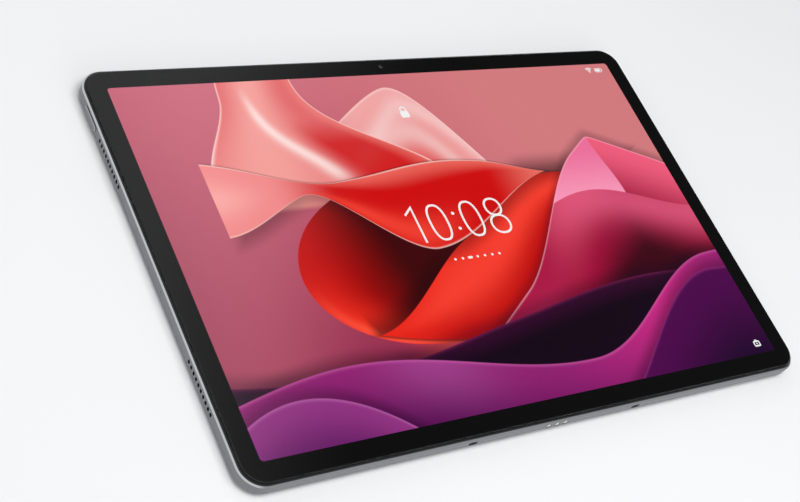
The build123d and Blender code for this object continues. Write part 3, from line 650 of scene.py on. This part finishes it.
def contact_strip():
    """Plastic tongue of the port, with a row of gilt contacts on both of its faces."""
    paint = Paint("tongue_contacts")
    low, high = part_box("usb_tongue")
    x, y = paint.split(paint.place())[:2]
    pitch = 0.5 * MM
    reach = 2.75 * MM
    off = y - (low.y + high.y) / 2
    row = ramp(sine(off * (TURN / pitch)), -0.1, 0.1)
    inner = ramp(x, low.x + 1.0 * MM, low.x + 1.05 * MM)
    outer = ramp(x, high.x - 0.4 * MM, high.x - 0.45 * MM)
    beside = ramp(absolute(off), reach + 0.05 * MM, reach)
    gilt = row * inner * outer * beside * ramp(absolute(paint.facing()), 0.8, 0.9)
    grain = paint.noise(scale=5200.0, detail=2.0)
    paint.set(
        Base_Color=mix(gilt, mix(grain, srgb(16, 16, 17), srgb(30, 30, 32)), srgb(214, 176, 104)),
        Metallic=gilt,
        Roughness=0.45 - 0.2 * gilt,
    )
    return paint.bump(gilt, distance=0.02 * MM, strength=0.6)


# ---- wallpaper: u and v run from the middle of the screen, and v is 1 at its top edge. Each sheet
# is drawn over the picture so far. The numbers in a sheet's edges are places along u and v.

EDGE_BLUR = 0.004


def turned(u, v, centre, angle):
    """Coordinates along and across a sheet that lies at an angle, in degrees, about a centre."""
    turn = math.radians(angle)
    right = u - centre[0]
    up = v - centre[1]
    along = right * math.cos(turn) + up * math.sin(turn)
    across = up * math.cos(turn) - right * math.sin(turn)
    return along, across


def below(across, edge):
    """1 below an edge and 0 above it."""
    return ramp(edge - across, -EDGE_BLUR, EDGE_BLUR)


def shadow(picture, gap, depth, dark, tint):
    """Shadow behind an edge: deepest at the edge, gone at the given depth on each side."""
    return mix(ramp(absolute(gap), depth, 0.0) * dark, picture, tint)


def ground(u, v):
    """Dusty rose backdrop, darker at its lower left."""
    plum = srgb(134, 10, 66)
    rose = srgb(198, 92, 112)
    salmon = srgb(212, 124, 128)
    haze = srgb(214, 118, 136)
    low = mix(ramp(u * 0.4 + v, -1.5, 0.9), plum, rose)
    picture = mix(ramp(u + v * 0.5, -0.7, 1.2), low, salmon)
    return mix(bell(u - v * 0.3, -1.25, 0.5) * 0.35, picture, haze)


def lobe(picture, u, v):
    """Pale rounded lobe behind the middle of the veil."""
    pale = srgb(244, 170, 168)
    coral = srgb(226, 78, 80)
    fold = srgb(250, 214, 210)
    gleam = srgb(252, 222, 220)
    rim = srgb(255, 214, 208)
    bend = root(u * u + 0.035) - 0.187
    top = 0.92 - bend * 0.75 - 0.62 * ramp(u, -0.08, 0.72)
    inside = below(v, top) * ramp(u, -0.7, -0.3)
    gap = top - v
    body = mix(ramp(gap, 0.0, 0.6), pale, coral)
    body = mix(bell(gap - 0.1 * u, 0.3, 0.09) * 0.6, body, fold)
    body = mix(bell(gap + 0.4 * u, 0.12, 0.07) * 0.5, body, gleam)
    body = mix(bell(gap, 0.0, 0.012) * 0.8, body, rim)
    return mix(inside * 0.93, picture, body)


def veil(picture, u, v):
    """Coral veil that falls from the top edge in long pleats and turns to the left."""
    coral = srgb(226, 102, 104)
    pale = srgb(244, 158, 152)
    gleam = srgb(255, 226, 222)
    scarlet = srgb(208, 20, 22)
    side = srgb(238, 120, 112)
    rim = srgb(255, 206, 200)
    left = -1.02 - 0.27 * ramp(v, 0.9, 0.36) + 0.03 * sine(v * 6.0)
    right = -0.6 + 0.68 * ramp(v, 1.08, 0.3) * ramp(v, 1.12, 0.36)
    inside = below(left, u) * below(u, right) * ramp(v, 0.2, 0.24)
    w = (u - left) / (right - left)
    body = mix(0.5 + 0.5 * sine(w * 7.0 - v * 2.0 + 0.6), coral, pale)
    pleat = bell(w, 0.3 + 0.25 * ramp(v, 1.0, 0.3), 0.05)
    body = mix(pleat * ramp(v, 1.0, 0.75) * ramp(v, 0.3, 0.42) * 0.9, body, gleam)
    body = mix(ramp(w, 0.5, 0.68) * ramp(v, 0.78, 0.56), body, scarlet)
    body = mix(ramp(w, 0.86, 1.0) * 0.6, body, side)
    body = mix(bell(w, 0.0, 0.015) + bell(w, 1.0, 0.012), body, rim)
    return mix(inside * 0.97, picture, body)


def bowl(picture, u, v):
    """Bright red bowl under the middle, dark inside."""
    red = srgb(196, 10, 8)
    hollow = srgb(62, 0, 2)
    bright = srgb(250, 52, 34)
    glow = srgb(255, 92, 68)
    s, t = turned(u, v, centre=(-0.28, -0.13), angle=12)
    r = s * s * 1.8 + t * t * 4.3 + 0.5 * s * t
    inside = ramp(r, 1.008, 0.992)
    body = mix(ramp(s, -0.72, -0.12), red, hollow)
    body = mix(ramp(r, 0.3, 1.0) * ramp(t, 0.22, -0.3), body, bright)
    body = mix(bell(r, 0.93, 0.08) * ramp(t, 0.1, -0.3) * 0.6, body, glow)
    return mix(inside, picture, body)


def lip(picture, u, v):
    """Orange-red lip that rolls up out of the bowl to the right."""
    deep = srgb(188, 6, 6)
    orange = srgb(240, 46, 32)
    bright = srgb(246, 62, 46)
    foot = srgb(232, 36, 24)
    shade = srgb(40, 0, 4)
    top = -0.52 + 0.5 * ramp(u, -0.8, 0.16) + 0.3 * ramp(u, 0.0, 0.6)
    low = -0.63 + 0.2 * u * u + 0.62 * ramp(u, -0.2, 0.85)
    beside = most((low - v) * 8.0, (-0.74 - u) * 2.0)
    picture = shadow(picture, most(v - top, beside), 0.16, 0.75, shade)
    inside = below(v, top) * below(low, v)
    w = (v - low) / (top - low + 0.001)
    body = mix(ramp(w, 0.0, 0.9), deep, orange)
    body = mix(bell(w, 0.66, 0.26), body, bright)
    body = mix(ramp(u, -0.2, -0.75), body, foot)
    return mix(inside, picture, body)


def blade(picture, u, v):
    """Coral blade that sweeps from a blunt left end, through a twist, to a point on the right."""
    coral = srgb(240, 136, 136)
    scarlet = srgb(206, 6, 8)
    brow = srgb(240, 106, 96)
    belly = srgb(240, 60, 46)
    gleam = srgb(255, 190, 184)
    tip = srgb(238, 116, 104)
    rim = srgb(255, 214, 204)
    shade = srgb(60, 0, 6)
    top = 0.33 + 0.2 * ramp(u, -0.6, -1.4) + 0.09 * bell(u, 0.05, 0.5) - 0.06 * ramp(u, 0.3, 0.8)
    low = 0.1 + 0.22 * ramp(u, -1.32, -0.68) - 0.42 * ramp(u, -0.85, -0.2) + 0.4 * ramp(u, -0.22, 0.8)
    beside = most((v - top) * 8.0, -1.2 - u)
    picture = shadow(picture, most(low - v, beside), 0.12, 0.5, shade)
    inside = below(v, top) * below(low, v) * ramp(u, -1.303, -1.297)
    w = (v - low) / (top - low + 0.001)
    body = mix(ramp(u, -1.0, -0.62), coral, scarlet)
    body = mix(ramp(w, 0.72, 1.0) * ramp(u, -0.9, -0.4) * 0.85, body, brow)
    body = mix(bell(w, 0.2, 0.2) * ramp(u, -0.9, -0.5) * ramp(u, 0.2, -0.3), body, belly)
    body = mix(bell(w, 0.5, 0.25) * ramp(u, -0.95, -1.3) * 0.5, body, gleam)
    body = mix(ramp(u, 0.3, 0.76), body, tip)
    body = mix(bell(w, 1.0, 0.014) + bell(w, 0.0, 0.014) * 0.8, body, rim)
    return mix(inside, picture, body)


def slope(picture, u, v):
    """Pink and magenta sheet that rises to a crest near the right edge, with a pale facet on it."""
    crimson = srgb(170, 20, 66)
    pink = srgb(242, 94, 126)
    deep = srgb(158, 10, 56)
    violet = srgb(206, 66, 118)
    dark = srgb(60, 0, 18)
    bright = srgb(228, 92, 130)
    facet_low = srgb(252, 158, 190)
    facet_high = srgb(238, 112, 156)
    rim = srgb(255, 176, 200)
    shade = srgb(52, 4, 26)
    bend = root((u - 1.13) * (u - 1.13) + 0.0004) - 0.02
    top = 0.49 - bend * (0.66 - 0.16 * ramp(u, 1.12, 1.14)) - 0.3 * ramp(u, 0.95, 0.2)
    gap = top - v
    picture = shadow(picture, gap, 0.08, 0.4, shade)
    body = mix(ramp(gap, 0.0, 0.5), mix(ramp(u, 0.35, 1.0), crimson, pink), deep)
    body = mix(bell(gap, 0.2, 0.12) * ramp(u, 0.6, -0.2) * 0.5, body, violet)
    body = mix(ramp(gap, 0.42, 0.78), body, dark)
    foot = 0.05 + 0.09 * sine(u * 4.2 - 2.4)
    side = 1.13 + 0.06 * ramp(v, 0.5, 0.1)
    under = bell(foot - v, 0.06, 0.14) * below(v, foot) * ramp(u, 0.35, 0.95)
    body = mix(under * 0.7, body, bright)
    facet = below(foot, v) * ramp(u - side, 0.006, -0.006) * ramp(u, 0.3, 0.5)
    body = mix(facet, body, mix(ramp(v, 0.0, 0.45), facet_low, facet_high))
    body = mix(bell(gap, 0.0, 0.008) * 0.6, body, rim)
    return mix(below(v, top), picture, body)


def wave(picture, v, top, near, far, crest, depth):
    """One dark wave: its top edge, and its colours near that edge and deep under it."""
    shade = srgb(20, 0, 24)
    gap = top - v
    picture = shadow(picture, gap, 0.1, 0.45, shade)
    body = mix(ramp(gap, 0.0, depth), near, far)
    body = mix(bell(gap, 0.0, 0.012) * 0.5, body, crest)
    return mix(below(v, top), picture, body)


def sea(picture, u, v):
    """Four dark purple waves along the foot of the screen, from the farthest to the nearest."""
    farthest = -0.6 + 0.1 * sine(u * 1.9 + 0.4) + 0.16 * ramp(u, 0.1, 1.6)
    picture = wave(
        picture, v, farthest, srgb(48, 2, 40), srgb(18, 0, 18), crest=srgb(120, 30, 84), depth=0.14
    )
    middle = -0.74 + 0.1 * sine(u * 2.4 - 2.4) + 0.3 * ramp(u, 0.4, 1.5)
    near = mix(bell(u, 1.0, 0.5), srgb(142, 30, 112), srgb(196, 40, 128))
    near = mix(bell(u, -0.55, 0.3) * 0.6, near, srgb(166, 74, 150))
    picture = wave(picture, v, middle, near, srgb(84, 4, 78), crest=srgb(210, 96, 170), depth=0.4)
    left = -0.76 - 0.9 * (u + 1.3) * (u + 1.3)
    picture = wave(
        picture, v, left, srgb(144, 50, 128), srgb(96, 24, 96), crest=srgb(196, 110, 180), depth=0.3
    )
    nearest = -1.25 + 0.9 * ramp(u, 0.3, 1.5) + 0.1 * sine(u * 3.0)
    return wave(
        picture, v, nearest, srgb(78, 2, 76), srgb(16, 0, 36), crest=srgb(160, 50, 130), depth=0.7
    )


def wallpaper(u, v):
    """Soft folded sheets of colour, from the backdrop to the front."""
    picture = ground(u, v)
    for sheet in (lobe, veil, bowl, lip, blade, slope, sea):
        picture = sheet(picture, u, v)
    return picture


def lit_screen():
    """Liquid-crystal panel, lit inside its active area and black round it."""
    paint = Paint("lit_screen")
    x, y = paint.split(paint.place())[:2]
    half_height = ACTIVE_H / 2
    u = x * (1 / half_height)
    v = (y - ACTIVE_Y) * (1 / half_height)
    picture = wallpaper(u, v)
    out_x = most(absolute(x) - (ACTIVE_W / 2 - ACTIVE_CORNER), 0.0)
    out_y = most(absolute(y - ACTIVE_Y) - (ACTIVE_H / 2 - ACTIVE_CORNER), 0.0)
    outside = root(out_x * out_x + out_y * out_y)
    blur = 0.03 * MM
    lit = ramp(outside, ACTIVE_CORNER + blur, ACTIVE_CORNER - blur)
    lit = lit * ramp(paint.facing(), 0.4, 0.6)
    paint.set(
        Base_Color=mix(lit, (0.004, 0.004, 0.005, 1.0), BLACK),
        Emission_Color=mix(lit, BLACK, picture),
        Emission_Strength=1.1,
        Roughness=0.5 + 0.1 * paint.noise(scale=500.0),
        Specular_IOR_Level=0.0,
    )
    return paint


def screen_marks():
    """Lit white of the marks on the screen, with the faintest unevenness."""
    paint = Paint("screen_marks")
    cloud = paint.noise(scale=400.0, detail=2.0)
    paint.set(
        Base_Color=mix(cloud, srgb(20, 20, 20), srgb(30, 30, 30)),
        Emission_Color=mix(cloud, srgb(244, 243, 243), srgb(255, 255, 255)),
        Emission_Strength=1.0,
        Roughness=0.4 + 0.1 * cloud,
    )
    return paint


# ---- marks on the lit screen

# How high a mark stands over the panel, which leaves it clear of the ink and the glass
MARK_LOW = PANEL_HIGH.z + 0.005 * MM
MARK_HIGH = PANEL_HIGH.z + 0.04 * MM
ARC_STEPS = 48


class Mark:
    """A flat raised figure on the screen, drawn in millimetres from the middle of the lit area."""

    def __init__(self, centre):
        self.mesh = bmesh.new()
        self.centre = centre

    def corner(self, x, y, z):
        """One vertex at a place given from the mark's own centre."""
        return self.mesh.verts.new((
            (self.centre[0] + x) * MM,
            (self.centre[1] + y) * MM + ACTIVE_Y,
            z,
        ))

    def band(self, path, width, closed=False):
        """A stroke of even width along a path."""
        count = len(path)
        rows = []
        for i, (x, y) in enumerate(path):
            last = path[i - 1] if closed or i > 0 else path[i]
            after = path[(i + 1) % count] if closed or i < count - 1 else path[i]
            back = Vector((x - last[0], y - last[1])).normalized()
            ahead = Vector((after[0] - x, after[1] - y)).normalized()
            tangent = (back + ahead).normalized()
            normal = Vector((-tangent.y, tangent.x))
            reach = width / 2 / max(0.5, (back + ahead).length / 2 or 1.0)
            if not closed and i in (0, count - 1):
                reach = width / 2
            near = (x - normal.x * reach, y - normal.y * reach)
            far = (x + normal.x * reach, y + normal.y * reach)
            rows.append([
                self.corner(*near, MARK_LOW),
                self.corner(*far, MARK_LOW),
                self.corner(*far, MARK_HIGH),
                self.corner(*near, MARK_HIGH),
            ])
        steps = zip(rows, rows[1:] + rows[:1]) if closed else zip(rows, rows[1:])
        for here, there in steps:
            for k in range(4):
                self.mesh.faces.new((here[k], here[k - 3], there[k - 3], there[k]))
        if not closed:
            self.mesh.faces.new(rows[0])
            self.mesh.faces.new(rows[-1])

    def plate(self, outline):
        """A filled figure inside an outline."""
        low = [self.corner(x, y, MARK_LOW) for x, y in outline]
        high = [self.corner(x, y, MARK_HIGH) for x, y in outline]
        self.mesh.faces.new(low)
        self.mesh.faces.new(high)
        for k in range(len(outline)):
            self.mesh.faces.new((low[k], low[k - 1], high[k - 1], high[k]))

    def finish(self, name, paint):
        """Make the object, and fix it to the screen."""
        bmesh.ops.recalc_face_normals(self.mesh, faces=self.mesh.faces)
        mesh = bpy.data.meshes.new(name)
        self.mesh.to_mesh(mesh)
        self.mesh.free()
        mesh.materials.append(paint.material)
        mark = bpy.data.objects.new(name, mesh)
        bpy.context.scene.collection.objects.link(mark)
        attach(mark, "tablet")


def arc(x, y, half_width, half_height, start=0.0, end=360.0, power=2.0):
    """Points on an ellipse, or on a squarer oval where the power is over 2."""
    full = end - start >= 360.0
    points = []
    for i in range(ARC_STEPS if full else ARC_STEPS + 1):
        turn = math.radians(start + (end - start) * i / ARC_STEPS)
        across = math.copysign(abs(math.cos(turn)) ** (2 / power), math.cos(turn))
        up = math.copysign(abs(math.sin(turn)) ** (2 / power), math.sin(turn))
        points.append((x + half_width * across, y + half_height * up))
    return points


# Sizes of the clock, in millimetres from its own middle
DIGIT_STROKE = 1.05
DIGIT_TOP = 8.8
DIGIT_FOOT = -9.4
DIGIT_MIDDLE = -0.1
DIGIT_HALF_HEIGHT = 8.9
ZERO_POWER = 2.5
EIGHT_X = 21.1
EIGHT_POWER = 2.2
COLON_X = -1.6
COLON_Y = (3.6, -4.3)
COLON_R = 0.8

# Sizes of the row of dots
DOT_PITCH = 4.0
DOT_R = 0.6
TODAY_HALF_WIDTH = 1.3


def draw_clock(paint):
    """Thin digits of a lock screen clock, with a row of seven dots for the days under it."""
    clock = Mark(centre=(0.0, 4.4))
    clock.band([(-26.2, 5.2), (-21.8, DIGIT_TOP), (-21.8, DIGIT_FOOT)], DIGIT_STROKE)
    for x, half_width in ((-10.8, 4.5), (7.15, 4.6)):
        zero = arc(x, DIGIT_MIDDLE, half_width, DIGIT_HALF_HEIGHT, power=ZERO_POWER)
        clock.band(zero, DIGIT_STROKE, closed=True)
    for y, half_width, half_height in ((4.6, 4.2, 4.3), (-4.5, 4.9, 4.6)):
        loop = arc(EIGHT_X, y, half_width, half_height, power=EIGHT_POWER)
        clock.band(loop, DIGIT_STROKE, closed=True)
    for y in COLON_Y:
        clock.plate(arc(COLON_X, y, COLON_R, COLON_R))
    clock.finish("clock_digits", paint)
    days = Mark(centre=(0.0, -14.8))
    for day in range(-3, 4):
        if day == -1:
            dot = arc(DOT_PITCH * day, 0.0, TODAY_HALF_WIDTH, DOT_R, power=3.0)
        else:
            dot = arc(DOT_PITCH * day, 0.0, DOT_R, DOT_R)
        days.plate(dot)
    days.finish("day_dots", paint)


def draw_padlock(paint):
    """Closed padlock over the clock."""
    shackle_x = 1.4
    lock = Mark(centre=(0.0, 63.8))
    lock.plate(arc(0.0, -1.3, 2.25, 1.85, power=6.0))
    bow = arc(0.0, 1.3, shackle_x, 1.5, start=0.0, end=180.0)
    lock.band([(shackle_x, 0.6)] + bow + [(-shackle_x, 0.6)], width=0.55)
    lock.finish("padlock_sign", paint)


def draw_fan(paint):
    """Radio fan: a dot under three arcs."""
    fan = Mark(centre=(123.0, 80.3))
    for size in (1.0, 1.9, 2.8):
        fan.band(arc(0.0, 0.0, size, size, start=48.0, end=132.0), width=0.5)
    fan.plate(arc(0.0, 0.15, 0.36, 0.36))
    fan.finish("radio_sign", paint)


def draw_charge(paint):
    """Charge level: a case, its filling and its pole."""
    charge = Mark(centre=(129.3, 81.5))
    charge.band(arc(-0.2, 0.0, 2.2, 1.15, power=6.0), width=0.26, closed=True)
    charge.plate(arc(-0.45, 0.0, 1.55, 0.75, power=6.0))
    charge.plate(arc(2.35, 0.0, 0.18, 0.5, power=4.0))
    charge.finish("charge_sign", paint)


def draw_camera(paint):
    """Camera: a body, its lens and its finder."""
    camera = Mark(centre=(128.2, -80.3))
    camera.band(arc(0.0, -0.2, 1.7, 1.15, power=6.0), width=0.75, closed=True)
    camera.plate(arc(0.0, -0.2, 0.42, 0.42))
    camera.plate(arc(0.0, 1.62, 0.8, 0.24, power=4.0))
    camera.finish("camera_sign", paint)


# ---- every CAD node gets its finish

wear(housing_metal())("rear_housing")
wear(key_metal("anodised_side_key", axis=0))("power_button")
wear(key_metal("anodised_top_key", axis=1))("volume_rocker", "card_tray")
wear(moulded("cover_paint", colour=(0.19, 0.192, 0.196, 1.0), roughness=0.32))("antenna_cover")
wear(moulded("marker_inlay", colour=(0.17, 0.172, 0.176, 1.0), roughness=0.26))("pen_marker")
wear(badge_metal())("badge_plate")
wear(island_metal())("camera_plate")
wear(bright_metal("bright_ring", colour=(0.9, 0.9, 0.91, 1.0), roughness=0.1))("flash_ring")
wear(bright_metal("smoked_ring", colour=(0.34, 0.34, 0.35, 1.0), roughness=0.14))("lens_ring")
wear(clear_glass("lens_clear_glass", tint=(0.86, 0.88, 0.95, 1.0)))("lens_window", "lens_element")
wear(diffuser())("flash_window")
wear(moulded("lamp_phosphor", colour=(0.86, 0.8, 0.42, 1.0), roughness=0.4))("flash_lamp")
wear(barrel("rear_barrel", "rear_camera", pupil_colour=srgb(120, 121, 124)))("rear_camera")
wear(barrel("front_barrel", "front_camera", pupil_colour=srgb(72, 73, 76)))("front_camera")
wear(clear_glass("cover_clear_glass", tint=(0.985, 0.99, 0.99, 1.0)))("cover_glass")
wear(moulded("frame_black", colour=(0.007, 0.007, 0.008, 1.0), roughness=0.46))("display_frame")
wear(moulded("tape_black", colour=(0.006, 0.006, 0.006, 1.0), roughness=0.7))("display_tape")
wear(printed_ink())("border_print")
wear(lit_screen())("display_panel")
wear(moulded("backlight_white", colour=(0.8, 0.81, 0.83, 1.0), roughness=0.3, grain_scale=1800.0))(
    "backlight_unit"
)
wear(stamped("plate_steel", colour=(0.5, 0.5, 0.51, 1.0)))("mid_plate")
wear(stamped("shield_steel", colour=(0.62, 0.61, 0.59, 1.0)))("processor_shield", "radio_shield")
wear(circuit_board())("main_board", "battery_board", "usb_board", "flash_board")
wear(flex_cable("flex_along_y", along=1))("usb_flex", "battery_cable", "display_flex")
wear(flex_cable("flex_along_x", along=0))("camera_flex")
wear(moulded("plastic_black", colour=(0.014, 0.014, 0.015, 1.0), roughness=0.5))(
    "pogo_block", "card_reader", "left_antenna", "right_antenna",
    "upper_left_speaker", "upper_right_speaker", "lower_left_speaker", "lower_right_speaker",
)
wear(woven())("upper_left_mesh", "upper_right_mesh", "lower_left_mesh", "lower_right_mesh")
wear(moulded("switch_body", colour=(0.05, 0.05, 0.052, 1.0), roughness=0.4))(
    "power_switch", "volume_switches", "side_microphone", "top_microphone"
)
wear(bright_metal("contact_nickel", colour=(0.88, 0.85, 0.78, 1.0), roughness=0.2))("pogo_contacts")
wear(contact_strip())("usb_tongue")
wear(bright_metal("port_steel", (0.62, 0.62, 0.63, 1.0), roughness=0.2, stretch=(0.05, 1.0, 1.0)))(
    "usb_shell"
)
wear(bright_metal("magnet_nickel", colour=(0.6, 0.6, 0.58, 1.0), roughness=0.2))(
    "pen_magnets", "dock_magnets"
)
wear(moulded("graphite_sheet", colour=(0.03, 0.03, 0.032, 1.0), roughness=0.35, grain_scale=2600.0))(
    "heat_spreader"
)
wear(pouch())("battery_left", "battery_right")
wear(bright_metal("screw_steel", colour=(0.45, 0.45, 0.46, 1.0), roughness=0.3))(
    "plate_screws", "board_screws"
)

# Clear glass lets the lamps through to what lies under it.
for pane in ("cover_glass", "lens_window"):
    nodes[pane].visible_shadow = False


# ---- the marks, which are the only pieces that the CAD doesn't have

marks = screen_marks()
for draw in (draw_clock, draw_padlock, draw_fan, draw_charge, draw_camera):
    draw(marks)
